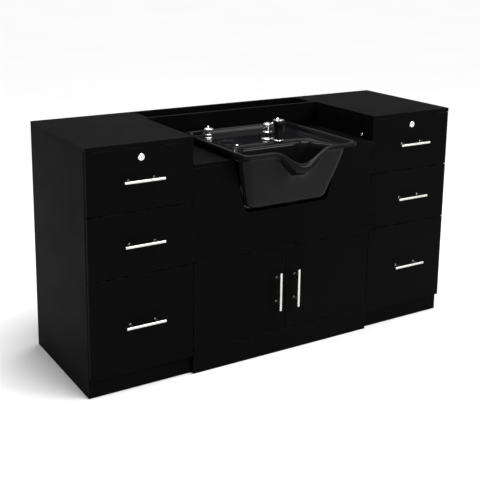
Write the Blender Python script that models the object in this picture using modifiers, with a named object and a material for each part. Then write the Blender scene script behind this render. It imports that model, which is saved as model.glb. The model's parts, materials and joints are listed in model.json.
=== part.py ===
"""Shampoo backwash unit: two three-drawer towers either side of a bowl cabinet.

The unit is 1.6 m wide. Each tower has three drawers, the top one with a cam lock. The centre
cabinet has two doors below a fascia, a counter with a shampoo bowl that reaches out over the
front, and a plumbing chase behind its backsplash. Metres, +Z up, the front faces -Y, the origin
is at floor level in the middle of the unit's plan. Left means -X.
"""
import math
from collections import namedtuple

import bmesh
import bpy
from mathutils import Matrix, Vector

# Cabinet sizes
HEIGHT = 0.887
TOWER_WIDTH = 0.400
CENTRE_HALF = 0.400
DEPTH = 0.528
BOARD = 0.016
GAP = 0.0003
REVEAL = 0.0015
TOWER_PLINTH = 0.070
CENTRE_PLINTH = 0.0895
COUNTER_TOP = 0.787
FASCIA_BOTTOM = 0.424
LIP_REACH = 0.115
# Every y below is measured back from the front plane, which lies at this world Y
FRONT = -(DEPTH - LIP_REACH) / 2
TOWER_CENTRE = CENTRE_HALF + TOWER_WIDTH / 2
OUTSIDE = CENTRE_HALF + TOWER_WIDTH
UNDER_TOP = HEIGHT - BOARD
CARCASS_FRONT = BOARD + GAP
JOINT_FACE = CENTRE_HALF - GAP / 2
TOWER_FACE = CENTRE_HALF + GAP / 2
TOWER_SIDE_INNER = CENTRE_HALF + BOARD
TOWER_SIDE_OUTER = OUTSIDE - BOARD
CENTRE_INNER = CENTRE_HALF - BOARD
BACKSPLASH_FRONT = 0.379
BACKSPLASH_BOTTOM = 0.690
# The service hatch in the back: half width, low and high z; and the waste arm's hole
HATCH = (0.150, 0.140, 0.360)
WASTE_HEIGHT = 0.490
WASTE_HOLE = 0.028
# The bowl's way in: half width at its low and high ends, rear y, low and high z, corner radius
Opening = namedtuple("Opening", "low_half high_half back low high corner")
COUNTER_OPENING = Opening(0.2365, 0.2365, 0.352, 0.700, 0.900, 0.030)
FASCIA_OPENING = Opening(0.1840, 0.2400, 0.100, 0.580, 0.790, 0.024)

# Drawers: name, underside and top of the front, underside and top of the box
DrawerSize = namedtuple("DrawerSize", "level low high box_low box_high")
DRAWERS = (DrawerSize("top", 0.651, UNDER_TOP, 0.665, 0.795),
           DrawerSize("middle", 0.424, 0.651, 0.440, 0.580),
           DrawerSize("bottom", TOWER_PLINTH, 0.424, 0.092, 0.332))
SIDES = (("left", -1), ("right", 1))
BOX_HALF = 0.1713
BOX_BACK = 0.466
BOX_WALL = 0.012
RUNNER_HALF = 0.0225
RUNNER_RISE = 0.0325
RUNNER_END = 0.462
CENTRE_FLOOR = (0.075, 0.091)

# Hardware
HANDLE_LENGTH = 0.150
HANDLE_POSTS = 0.096
HANDLE_REACH = 0.030
HANDLE_RADIUS = 0.005
POST_RADIUS = 0.004
DOOR_HANDLE_X = 0.041
LOCK_HEIGHT = 0.837
LOCK_HOLE = 0.0103
HINGE_INSET = 0.0225
HINGE_HEIGHTS = (0.165, 0.345)
CUP_RADIUS = 0.0175
CUP_DEPTH = 0.012
HINGE_PLATE_INNER = 0.3735
HINGE_PLATE = (0.034, 0.075)
HINGE_PLATE_HALF = 0.012
HINGE_FLANGE_INNER = 0.3580
HINGE_FLANGE_HALF = 0.026
HINGE_ARM = (0.3660, 0.3815)
HINGE_ARM_DEPTH = 0.013
HINGE_ARM_HALF = 0.008
BOLT_RADIUS = 0.003
BOLT_HOLE = 0.0034
BOLT_HEAD = 0.0065
BOLT_HEAD_HEIGHT = 0.004
BOLT_AT = (0.066, 0.802)

# Bowl and fittings: plan positions as (x, y)
DECK = 0.795
DECK_UNDER = COUNTER_TOP + GAP
DRAIN_AT = (0.0, 0.062)
DRAIN_RADIUS = 0.021
DRAIN_TOP = 0.567
DRAIN_UNDER = 0.559
FAUCET_AT = (0.038, 0.203)
BREAKER_AT = (-0.156, 0.328)
SPRAY_AT = (0.060, 0.158)
SHANK_HOLE = 0.0130
SHANK_RADIUS = 0.0105
SHANK_LOW = 0.762
NUT_RADIUS = 0.0165
NUT_HEIGHT = 0.007
LEVER_ROOT = 0.0205
TURN_STEPS = 28

MATERIALS = {
    "black_laminate": ((0.010, 0.010, 0.011), 0.42, 0.0),
    "drawer_melamine": ((0.55, 0.54, 0.52), 0.55, 0.0),
    "satin_nickel": ((0.66, 0.64, 0.60), 0.32, 1.0),
    "runner_steel": ((0.60, 0.61, 0.63), 0.35, 1.0),
    "chrome": ((0.86, 0.87, 0.88), 0.08, 1.0),
    "bowl_black": ((0.007, 0.007, 0.008), 0.10, 0.0),
    "spray_black": ((0.012, 0.012, 0.013), 0.25, 0.0),
    "pipe_plastic": ((0.72, 0.72, 0.70), 0.45, 0.0),
}


def clear_scene():
    for old in list(bpy.data.objects):
        bpy.data.objects.remove(old, do_unlink=True)


def new_collection(name):
    collection = bpy.data.collections.new(name)
    bpy.context.scene.collection.children.link(collection)
    return collection


def get_material(name):
    material = bpy.data.materials.get(name)
    if material is None:
        color, roughness, metallic = MATERIALS[name]
        material = bpy.data.materials.new(name)
        material.use_nodes = True
        shader = material.node_tree.nodes["Principled BSDF"]
        shader.inputs["Base Color"].default_value = (*color, 1.0)
        shader.inputs["Roughness"].default_value = roughness
        shader.inputs["Metallic"].default_value = metallic
    return material


def world(x, y, z):
    """A point whose y is measured back from the front plane, in world coordinates."""
    return Vector((x, FRONT + y, z))


def place(obj, material, parent=None):
    """Put an object in the unit's collection, finish it and hang it on its moving parent."""
    PARTS.objects.link(obj)
    obj.data.materials.append(get_material(material))
    if parent is not None:
        obj.parent = parent
        obj.location = obj.location - parent.location
    return obj


def pivot(name, at):
    empty = bpy.data.objects.new(name, None)
    empty.empty_display_size = 0.03
    empty.location = world(*at)
    PARTS.objects.link(empty)
    return empty


def add_box(bm, x_span, y_span, z_span):
    low = world(min(x_span), min(y_span), min(z_span))
    high = world(max(x_span), max(y_span), max(z_span))
    size = Matrix.Diagonal((*(high - low), 1.0))
    bmesh.ops.create_cube(bm, size=1.0, matrix=Matrix.Translation((low + high) / 2) @ size)


def add_cylinder(bm, start, end, radius, segments=20, end_radius=None):
    low, high = world(*start), world(*end)
    turn = (high - low).to_track_quat("Z", "Y").to_matrix().to_4x4()
    top = radius if end_radius is None else end_radius
    bmesh.ops.create_cone(bm, cap_ends=True, segments=segments, radius1=radius, radius2=top,
                          depth=(high - low).length,
                          matrix=Matrix.Translation((low + high) / 2) @ turn)


def from_bmesh(name, bm, origin=None, smooth=False):
    """An object from a bmesh in world coordinates, with its origin where it is wanted."""
    if origin is None:
        corners = [vert.co for vert in bm.verts]
        origin = Vector([(min(c[i] for c in corners) + max(c[i] for c in corners)) / 2
                         for i in range(3)])
    bmesh.ops.translate(bm, verts=bm.verts, vec=-origin)
    mesh = bpy.data.meshes.new(name)
    bm.to_mesh(mesh)
    bm.free()
    if smooth:
        mesh.shade_smooth()
        mesh.set_sharp_from_angle(angle=math.radians(35))
    obj = bpy.data.objects.new(name, mesh)
    obj.location = origin
    return obj


def board(name, material, x_span, y_span, z_span, parent=None):
    bm = bmesh.new()
    add_box(bm, x_span, y_span, z_span)
    return place(from_bmesh(name, bm), material, parent)


def as_tool(tool):
    """Keep a shape that only cuts or joins out of the unit's own parts."""
    tool.hide_render = True
    tool.display_type = "WIRE"
    CUTTERS.objects.link(tool)
    return tool


def combine(obj, tool, operation):
    modifier = obj.modifiers.new(tool.name, "BOOLEAN")
    modifier.operation = operation
    modifier.solver = "EXACT"
    modifier.object = tool


def cut(obj, name, bm):
    combine(obj, as_tool(from_bmesh(name, bm)), "DIFFERENCE")


def join(obj, name, bm):
    combine(obj, as_tool(from_bmesh(name, bm)), "UNION")


def drill(obj, name, holes, segments=20):
    """Cut round holes, each given by its two ends and its radius."""
    bm = bmesh.new()
    for start, end, radius in holes:
        add_cylinder(bm, start, end, radius, segments)
    cut(obj, name, bm)


def turned(name, material, profile, at, turn=(0.0, 0.0, 0.0), parent=None, steps=TURN_STEPS):
    """A profile of (radius, height) points, outer side from the top down, turned about its axis.

    A profile that starts and ends on the axis is a solid, any other is closed into a ring.
    """
    mesh = bpy.data.meshes.new(name)
    edges = [(i, i + 1) for i in range(len(profile) - 1)]
    if profile[0][0] > 0.0:
        edges.append((len(profile) - 1, 0))
    mesh.from_pydata([(radius, 0.0, height) for radius, height in profile], edges, [])
    obj = bpy.data.objects.new(name, mesh)
    obj.location = world(*at)
    obj.rotation_euler = [math.radians(angle) for angle in turn]
    screw = obj.modifiers.new("turn", "SCREW")
    screw.axis = "Z"
    screw.steps = screw.render_steps = steps
    screw.use_merge_vertices = True
    screw.merge_threshold = 0.00001
    screw.use_smooth_shade = True
    return place(obj, material, parent)


def extruded_tool(name, outlines, y_span):
    """Outlines of (x, z) points drawn out along y and made one mesh, ready to be joined."""
    curve = bpy.data.curves.new(name, "CURVE")
    curve.dimensions = "2D"
    curve.fill_mode = "BOTH"
    curve.extrude = abs(y_span[1] - y_span[0]) / 2
    for outline in outlines:
        spline = curve.splines.new("POLY")
        spline.points.add(len(outline) - 1)
        for point, (x, z) in zip(spline.points, outline):
            point.co = (x, z, 0.0, 1.0)
        spline.use_cyclic_u = True
    drawn = bpy.data.objects.new(name + "_curve", curve)
    drawn.location = world(0.0, sum(y_span) / 2, 0.0)
    drawn.rotation_euler = (math.radians(90), 0.0, 0.0)
    CUTTERS.objects.link(drawn)
    graph = bpy.context.evaluated_depsgraph_get()
    mesh = bpy.data.meshes.new_from_object(drawn.evaluated_get(graph))
    bm = bmesh.new()
    bm.from_mesh(mesh)
    bmesh.ops.remove_doubles(bm, verts=bm.verts, dist=0.00001)
    bm.to_mesh(mesh)
    bm.free()
    tool = bpy.data.objects.new(name, mesh)
    tool.matrix_world = drawn.matrix_world
    bpy.data.objects.remove(drawn)
    return as_tool(tool)


def bar_handle(name, centre, upright, parent):
    """A straight bar on two posts, standing off the front plane."""
    x, z = centre

    def at(along, y):
        return (x, y, z + along) if upright else (x + along, y, z)

    bar, posts = bmesh.new(), bmesh.new()
    add_cylinder(bar, at(-HANDLE_LENGTH / 2, -HANDLE_REACH), at(HANDLE_LENGTH / 2, -HANDLE_REACH),
                 HANDLE_RADIUS, 16)
    for along in (-HANDLE_POSTS / 2, HANDLE_POSTS / 2):
        add_cylinder(posts, at(along, -GAP), at(along, -HANDLE_REACH), POST_RADIUS, 12)
    handle = place(from_bmesh(name, bar), "satin_nickel", parent)
    join(handle, name + "_posts", posts)


def tower(side, sign):
    """One tower's panels, with the cabinet halves of the drawer runners on its sides."""
    inner = (sign * (TOWER_SIDE_INNER + GAP), sign * (TOWER_SIDE_OUTER - GAP))
    side_y, side_z = (CARCASS_FRONT, DEPTH), (0, UNDER_TOP - GAP)
    board("tower_top_" + side, "black_laminate", (sign * TOWER_FACE, sign * OUTSIDE), (0, DEPTH),
          (UNDER_TOP, HEIGHT))
    outer_side = board("tower_outer_side_" + side, "black_laminate",
                       (sign * TOWER_SIDE_OUTER, sign * OUTSIDE), side_y, side_z)
    inner_side = board("tower_inner_side_" + side, "black_laminate",
                       (sign * TOWER_FACE, sign * TOWER_SIDE_INNER), side_y, side_z)
    for panel, face, into in ((outer_side, TOWER_SIDE_OUTER, -1), (inner_side, TOWER_SIDE_INNER, 1)):
        outlines = [runner_outline(sign * face, sign * into, size.box_low + RUNNER_RISE, False)
                    for size in DRAWERS]
        combine(panel, extruded_tool(panel.name + "_runners", outlines,
                                     (CARCASS_FRONT + GAP, RUNNER_END)), "UNION")
    board("tower_back_" + side, "black_laminate", inner, (DEPTH - BOARD, DEPTH),
          (TOWER_PLINTH, UNDER_TOP - GAP))
    board("tower_floor_" + side, "black_laminate", inner, (CARCASS_FRONT, DEPTH - BOARD - GAP),
          (TOWER_PLINTH, TOWER_PLINTH + BOARD))
    board("tower_plinth_" + side, "black_laminate", inner, (CARCASS_FRONT, CARCASS_FRONT + BOARD),
          (0, TOWER_PLINTH - GAP))
    return inner_side


def joining_bolt(panel):
    """A bolt through the right tower's inner side, just above the counter."""
    y, z = BOLT_AT
    head, nut = TOWER_FACE - GAP, TOWER_SIDE_INNER + GAP
    drill(panel, "bolt_hole", [((CENTRE_INNER, y, z), (CENTRE_HALF + 2 * BOARD, y, z), BOLT_HOLE)])
    profile = [(0.0, nut + BOLT_HEAD_HEIGHT), (BOLT_HEAD, nut + BOLT_HEAD_HEIGHT),
               (BOLT_HEAD, nut), (BOLT_RADIUS, nut), (BOLT_RADIUS, head), (BOLT_HEAD, head),
               (BOLT_HEAD - 0.0015, head - BOLT_HEAD_HEIGHT), (0.0, head - BOLT_HEAD_HEIGHT)]
    turned("joining_bolt", "chrome", [(r, h - head) for r, h in profile], (head, y, z),
           (0.0, 90.0, 0.0), steps=16)


def runner_outline(face, direction, height, moving):
    """Section of one side-mounted runner, measured across the gap from the tower side.

    It sinks a little into the panel or drawer side that carries it.
    """
    half, lip, steel, sunk = RUNNER_HALF, 0.0085, 0.0014, 0.0005
    if moving:
        plate, block, tip, inner = 0.0175, 0.0120, 0.0035, 0.0110
        outer = TOWER_WIDTH / 2 - BOARD - BOX_HALF + sunk
        section = [(outer, -plate), (outer, plate), (inner, plate), (inner, block), (tip, block),
                   (tip, -block), (inner, -block), (inner, -plate)]
    else:
        section = [(-sunk, -half), (lip, -half), (lip, steel - half), (steel, steel - half),
                   (steel, half - steel), (lip, half - steel), (lip, half), (-sunk, half)]
    return [(face + direction * across, height + up) for across, up in section]


def drawer_box(size, tag, sign, body):
    """An open-topped box with the drawer halves of the two runners on its sides."""
    middle = sign * TOWER_CENTRE
    x_span = (middle - BOX_HALF, middle + BOX_HALF)
    box = board("drawer_box_" + tag, "drawer_melamine", x_span, (CARCASS_FRONT, BOX_BACK),
                (size.box_low, size.box_high), body)
    hollow = bmesh.new()
    add_box(hollow, (x_span[0] + BOX_WALL, x_span[1] - BOX_WALL),
            (CARCASS_FRONT + BOX_WALL, BOX_BACK - BOX_WALL),
            (size.box_low + BOX_WALL, size.box_high + BOX_WALL))
    cut(box, "hollow_" + tag, hollow)
    height = size.box_low + RUNNER_RISE
    outlines = [runner_outline(middle - TOWER_WIDTH / 2 + BOARD, 1, height, True),
                runner_outline(middle + TOWER_WIDTH / 2 - BOARD, -1, height, True)]
    tool = extruded_tool("runners_" + tag, outlines, (CARCASS_FRONT + GAP, RUNNER_END))
    combine(box, tool, "UNION")


def drawer(size, side, sign):
    tag = side + "_" + size.level
    middle = sign * TOWER_CENTRE
    height = (size.low + size.high) / 2
    body = pivot("drawer_" + tag, (middle, 0.0, height))
    x_span = (middle - TOWER_WIDTH / 2 + REVEAL, middle + TOWER_WIDTH / 2 - REVEAL)
    z_span = (size.low + REVEAL, size.high - REVEAL)
    front = board("drawer_front_" + tag, "black_laminate", x_span, (0, BOARD), z_span, body)
    drawer_box(size, tag, sign, body)
    bar_handle("drawer_handle_" + tag, (middle, height), False, body)
    if size.level == "top":
        drill(front, "lock_hole_" + side,
              [((middle, -BOARD, LOCK_HEIGHT), (middle, 2 * BOARD, LOCK_HEIGHT), LOCK_HOLE)])
        cam_lock(side, middle, body)


def cam_lock(side, middle, body):
    """A ring barrel in the drawer front, and the plug that turns the cam behind it."""
    face = GAP
    barrel = [(0.0112, face + 0.0035), (0.0125, face + 0.0022), (0.0125, face), (0.0098, face),
              (0.0098, -0.0225), (0.0073, -0.0225), (0.0073, face + 0.0035)]
    turned("lock_barrel_" + side, "chrome", barrel, (middle, 0.0, LOCK_HEIGHT), (90.0, 0.0, 0.0),
           body)
    plug, cam = bmesh.new(), bmesh.new()
    add_cylinder(plug, (middle, -0.0030, LOCK_HEIGHT), (middle, 0.0250, LOCK_HEIGHT), 0.0070, 20)
    add_box(cam, (middle - 0.0080, middle + 0.0300), (0.0238, 0.0263),
            (LOCK_HEIGHT - 0.0080, LOCK_HEIGHT + 0.0080))
    origin = world(middle, 0.0, LOCK_HEIGHT)
    plug_object = place(from_bmesh("lock_cam_" + side, plug, origin), "chrome", body)
    join(plug_object, "cam_plate_" + side, cam)


def centre_side(side, sign):
    """A panel as high as the counter in front and as the towers behind, with hinge plates."""
    panel = board("centre_side_" + side, "black_laminate", (sign * CENTRE_INNER, sign * JOINT_FACE),
                  (CARCASS_FRONT, DEPTH), (0, HEIGHT))
    step, plates = bmesh.new(), bmesh.new()
    add_box(step, (sign * (CENTRE_INNER - BOARD), sign * (CENTRE_HALF + BOARD)),
            (-BOARD, BACKSPLASH_FRONT), (COUNTER_TOP - BOARD - GAP, HEIGHT + BOARD))
    cut(panel, "side_step_" + side, step)
    for z in HINGE_HEIGHTS:
        add_box(plates, (sign * HINGE_PLATE_INNER, sign * (CENTRE_INNER + 0.0005)), HINGE_PLATE,
                (z - HINGE_PLATE_HALF, z + HINGE_PLATE_HALF))
    join(panel, "hinge_plates_" + side, plates)


def centre_carcass():
    shelf = COUNTER_TOP - BOARD
    between = (-CENTRE_INNER + GAP, CENTRE_INNER - GAP)
    full = (-JOINT_FACE, JOINT_FACE)
    board("centre_floor", "black_laminate", between, (CARCASS_FRONT, DEPTH - BOARD - GAP),
          CENTRE_FLOOR)
    board("centre_plinth", "black_laminate", full, (0, BOARD), (0, CENTRE_PLINTH))
    board("backsplash", "black_laminate", between, (BACKSPLASH_FRONT, BACKSPLASH_FRONT + BOARD),
          (BACKSPLASH_BOTTOM, HEIGHT))
    back = board("centre_back", "black_laminate", between, (DEPTH - BOARD, DEPTH),
                 (CENTRE_FLOOR[0], HEIGHT))
    hatch = bmesh.new()
    add_box(hatch, (-HATCH[0], HATCH[0]), (DEPTH - 2 * BOARD, DEPTH + BOARD), HATCH[1:])
    cut(back, "service_hatch", hatch)
    drill(back, "waste_hole", [((0.0, DEPTH - 2 * BOARD, WASTE_HEIGHT),
                                (0.0, DEPTH + BOARD, WASTE_HEIGHT), WASTE_HOLE)], 24)
    counter = board("counter_top", "black_laminate", full, (0, BACKSPLASH_FRONT - GAP),
                    (shelf, COUNTER_TOP))
    bowl_opening(counter, COUNTER_OPENING)
    fascia = board("fascia", "black_laminate", full, (0, BOARD), (FASCIA_BOTTOM, shelf - GAP))
    bowl_opening(fascia, FASCIA_OPENING)


def bowl_opening(panel, size):
    """Cut the bowl's way into the counter or the fascia, with rounded far corners."""
    bm = bmesh.new()
    add_box(bm, (-size.high_half, size.high_half), (-size.back, size.back), (size.low, size.high))
    for vert in bm.verts:
        if vert.co.z < (size.low + size.high) / 2:
            vert.co.x *= size.low_half / size.high_half
    if size.low_half == size.high_half:
        rounded = [e for e in bm.edges if all(v.co.y > FRONT for v in e.verts)
                   and abs(e.verts[0].co.z - e.verts[1].co.z) > BOARD]
    else:
        rounded = [e for e in bm.edges if all(v.co.z < size.low + GAP for v in e.verts)
                   and abs(e.verts[0].co.y - e.verts[1].co.y) > BOARD]
    bmesh.ops.bevel(bm, geom=rounded, offset=size.corner, offset_type="OFFSET", segments=6,
                    profile=0.5, affect="EDGES")
    cut(panel, panel.name + "_opening", bm)


def door(side, sign):
    """A door hung on concealed hinges that act about its outer front corner."""
    outer = CENTRE_HALF - REVEAL
    low, high = CENTRE_PLINTH + 0.002, FASCIA_BOTTOM - 0.002
    middle = (low + high) / 2
    body = pivot("door_axis_" + side, (sign * outer, 0.0, middle))
    panel = board("door_" + side, "black_laminate", (sign * REVEAL, sign * outer), (0, BOARD),
                  (low, high), body)
    cup_x = sign * (outer - HINGE_INSET)
    drill(panel, "cup_holes_" + side,
          [((cup_x, BOARD - CUP_DEPTH - GAP, z), (cup_x, 2 * BOARD, z), CUP_RADIUS + GAP)
           for z in HINGE_HEIGHTS], 28)
    bar_handle("door_handle_" + side, (sign * DOOR_HANDLE_X, middle), True, body)
    for level, z in zip(("lower", "upper"), HINGE_HEIGHTS):
        hinge_arm("_".join(("hinge", side, level)), sign, cup_x, z, body)


def hinge_arm(name, sign, cup_x, z, body):
    """The door's half of one hinge: a cup let into the door, its flange and the arm.

    All that stands behind the door keeps inside the cabinet's side panel.
    """
    flange, outer, inner = BOARD + GAP, CENTRE_INNER - 0.0005, HINGE_FLANGE_INNER
    neck, neck_radius = sign * (outer - 0.0105), 0.0105
    cup, post, plate, arm = bmesh.new(), bmesh.new(), bmesh.new(), bmesh.new()
    add_cylinder(cup, (cup_x, BOARD - CUP_DEPTH, z), (cup_x, BOARD, z), CUP_RADIUS, 28)
    add_cylinder(post, (neck, BOARD - 0.002, z), (neck, flange + 0.0005, z), neck_radius, 20)
    add_box(plate, (sign * inner, sign * outer), (flange, flange + 0.0015),
            (z - HINGE_FLANGE_HALF, z + HINGE_FLANGE_HALF))
    add_box(arm, (sign * HINGE_ARM[0], sign * HINGE_ARM[1]),
            (flange + 0.0010, flange + HINGE_ARM_DEPTH), (z - HINGE_ARM_HALF, z + HINGE_ARM_HALF))
    hinge = place(from_bmesh(name, cup), "runner_steel", body)
    join(hinge, name + "_neck", post)
    join(hinge, name + "_flange", plate)
    join(hinge, name + "_arm", arm)


# One level line of the bowl: half width in front and behind, front and rear y, corner radii
# in front and behind, height, how far it dips and bulges out in the neck notch, and the half
# widths of the notch's level bottom and of the whole notch
Line = namedtuple("Line", "front_half rear_half front rear front_round rear_round height dip out"
                          " bottom notch")
BOWL_OUTSIDE = (
    Line(0.1300, 0.1150, 0.0120, 0.1000, 0.030, 0.036, 0.5860, 0.0000, 0.0000, 0.020, 0.100),
    Line(0.1680, 0.1430, 0.0000, 0.1060, 0.024, 0.040, 0.5920, 0.0000, 0.0000, 0.020, 0.100),
    Line(0.1790, 0.1500, -0.0080, 0.1120, 0.024, 0.044, 0.6000, 0.0000, 0.0000, 0.020, 0.100),
    Line(0.1840, 0.1540, -0.0130, 0.1170, 0.030, 0.047, 0.6160, 0.0000, 0.0000, 0.020, 0.100),
    Line(0.2120, 0.1640, -0.0400, 0.1300, 0.036, 0.052, 0.7000, 0.0020, 0.0000, 0.020, 0.100),
    Line(0.2330, 0.1730, -0.0590, 0.1370, 0.038, 0.056, 0.7760, 0.0560, 0.0020, 0.022, 0.104),
    Line(0.2340, 0.1750, -0.0620, 0.1390, 0.038, 0.056, DECK_UNDER, 0.0650, 0.0030, 0.024, 0.106),
    Line(0.2350, 0.2310, -0.0640, 0.3500, 0.038, 0.032, DECK_UNDER, 0.0640, 0.0040, 0.025, 0.106),
    Line(0.2440, 0.2420, -0.0680, 0.3680, 0.040, 0.026, DECK_UNDER, 0.0600, 0.0040, 0.025, 0.106),
    Line(0.2455, 0.2430, -0.0760, 0.3690, 0.036, 0.024, 0.8020, 0.0710, 0.0060, 0.025, 0.108),
    Line(0.2505, 0.2475, -0.0970, 0.3750, 0.030, 0.024, 0.8035, 0.0730, 0.0100, 0.025, 0.110),
    Line(0.2535, 0.2505, -0.1030, 0.3780, 0.028, 0.024, 0.8070, 0.0700, 0.0120, 0.022, 0.112),
    Line(0.2515, 0.2485, -0.1010, 0.3770, 0.027, 0.023, 0.8125, 0.0640, 0.0135, 0.012, 0.118),
    Line(0.2530, 0.2500, -0.1020, 0.3775, 0.027, 0.023, 0.8165, 0.0580, 0.0110, 0.006, 0.124),
    Line(0.2485, 0.2455, -0.0975, 0.3750, 0.026, 0.022, 0.8200, 0.0550, 0.0060, 0.000, 0.128),
    Line(0.2390, 0.2360, -0.0890, 0.3700, 0.025, 0.020, 0.8190, 0.0555, 0.0040, 0.000, 0.128),
)
BOWL_INSIDE = (
    Line(0.2330, 0.2300, -0.0830, 0.3660, 0.024, 0.018, 0.8140, 0.0560, 0.0030, 0.000, 0.128),
    Line(0.2290, 0.2260, -0.0765, 0.3630, 0.024, 0.018, 0.8010, 0.0560, 0.0010, 0.000, 0.126),
    Line(0.2240, 0.2210, -0.0700, 0.3580, 0.024, 0.018, DECK, 0.0580, 0.0000, 0.000, 0.124),
    Line(0.2190, 0.1700, -0.0640, 0.1370, 0.034, 0.056, 0.7945, 0.0620, 0.0000, 0.000, 0.120),
    Line(0.2160, 0.1650, -0.0590, 0.1300, 0.036, 0.054, 0.7850, 0.0600, 0.0000, 0.000, 0.116),
    Line(0.2030, 0.1560, -0.0330, 0.1220, 0.036, 0.050, 0.7000, 0.0020, 0.0000, 0.000, 0.100),
    Line(0.1760, 0.1460, -0.0050, 0.1090, 0.032, 0.046, 0.6220, 0.0000, 0.0000, 0.000, 0.100),
    Line(0.1560, 0.1340, 0.0060, 0.1000, 0.030, 0.038, 0.6060, 0.0000, 0.0000, 0.000, 0.100),
    Line(0.0900, 0.0850, 0.0220, 0.0980, 0.030, 0.032, 0.5840, 0.0000, 0.0000, 0.000, 0.100),
)
FRONT_PIECES = 18
CORNER_PIECES = 5
SIDE_PIECES = 5
REAR_PIECES = 6


def notch_share(x, line):
    """1 in the middle of the neck notch, falling smoothly to 0 at its shoulders."""
    t = (abs(x) - line.bottom) / (line.notch - line.bottom)
    t = min(max(t, 0.0), 1.0)
    return 1.0 - t * t * (3.0 - 2.0 * t)


def corner(centre, radius, start_angle):
    """Points round one corner, without its last point."""
    return [(centre[0] + radius * math.cos(a), centre[1] + radius * math.sin(a))
            for a in (start_angle + math.pi / 2 * i / CORNER_PIECES
                      for i in range(CORNER_PIECES))]


def straight(start, end, pieces):
    """Points along a straight stretch, without its last point."""
    return [(start[0] + (end[0] - start[0]) * i / pieces,
             start[1] + (end[1] - start[1]) * i / pieces) for i in range(pieces)]


def level_line(line):
    """Points of one level line, anticlockwise from the front left corner."""
    fr, rr = line.front_round, line.rear_round
    front_x, rear_x = line.front_half - fr, line.rear_half - rr
    front_y, rear_y = line.front + fr, line.rear - rr
    points = straight((-front_x, line.front), (front_x, line.front), FRONT_PIECES)
    points += corner((front_x, front_y), fr, -math.pi / 2)
    points += straight((line.front_half, front_y), (line.rear_half, rear_y), SIDE_PIECES)
    points += corner((rear_x, rear_y), rr, 0.0)
    points += straight((rear_x, line.rear), (-rear_x, line.rear), REAR_PIECES)
    points += corner((-rear_x, rear_y), rr, math.pi / 2)
    points += straight((-line.rear_half, rear_y), (-line.front_half, front_y), SIDE_PIECES)
    points += corner((-front_x, front_y), fr, math.pi)
    shaped = []
    for i, (x, y) in enumerate(points):
        share = notch_share(x, line) if i <= FRONT_PIECES else 0.0
        shaped.append((x, y - line.out * share, line.height - line.dip * share))
    return shaped


def drain_line(guide, radius, height):
    """A circle round the drain, with its points facing those of the line beside it."""
    points = []
    for x, y, _ in guide:
        angle = math.atan2(y - DRAIN_AT[1], x - DRAIN_AT[0])
        points.append((DRAIN_AT[0] + radius * math.cos(angle),
                       DRAIN_AT[1] + radius * math.sin(angle), height))
    return points


def bowl():
    """A thin moulded shell lofted through its level lines, from the drain's underside, up the
    outside, over the rim, across the deck and down into the basin to the drain."""
    outside = [level_line(line) for line in BOWL_OUTSIDE]
    inside = [level_line(line) for line in BOWL_INSIDE]
    lines = [drain_line(outside[0], DRAIN_RADIUS, DRAIN_UNDER),
             drain_line(outside[0], DRAIN_RADIUS + 0.010, DRAIN_UNDER)]
    lines += outside + inside
    lines += [drain_line(inside[-1], DRAIN_RADIUS + 0.013, DRAIN_TOP + 0.004),
              drain_line(inside[-1], DRAIN_RADIUS, DRAIN_TOP)]
    bm = bmesh.new()
    rings = [[bm.verts.new(world(*point)) for point in line] for line in lines]
    for low, high in zip(rings, rings[1:] + rings[:1]):
        for i in range(len(low)):
            j = (i + 1) % len(low)
            bm.faces.new((low[i], low[j], high[j], high[i]))
    bmesh.ops.recalc_face_normals(bm, faces=bm.faces)
    shell = place(from_bmesh("bowl", bm, smooth=True), "bowl_black")
    holes = [((x, y, DECK_UNDER - 0.02), (x, y, DECK + 0.02), SHANK_HOLE)
             for x, y in (FAUCET_AT, BREAKER_AT, SPRAY_AT)]
    drill(shell, "deck_holes", holes, 18)


def strainer():
    """A lift-out hair cup whose rim rests in the sump round the drain."""
    rest = DRAIN_TOP + 0.0045
    cup = [(0.0, rest - 0.0095), (0.0160, rest - 0.0095), (0.0185, rest - 0.002),
           (0.0185, rest), (0.0300, rest + 0.0020), (0.0300, rest + 0.0008),
           (0.0195, rest - 0.0025), (0.0170, rest - 0.0110), (0.0, rest - 0.0110)]
    body = pivot("strainer_lift", (*DRAIN_AT, rest))
    turned("strainer", "chrome", [(r, z - rest) for r, z in cup], (*DRAIN_AT, rest), parent=body)


def arc_points(centre, radius, start, end, pieces):
    """Points on an arc in the x = centre plane, as (x, y, z), angles in degrees."""
    x, y, z = centre
    return [(x, y + radius * math.cos(a), z + radius * math.sin(a))
            for a in (math.radians(start + (end - start) * i / pieces) for i in range(pieces + 1))]


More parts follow.
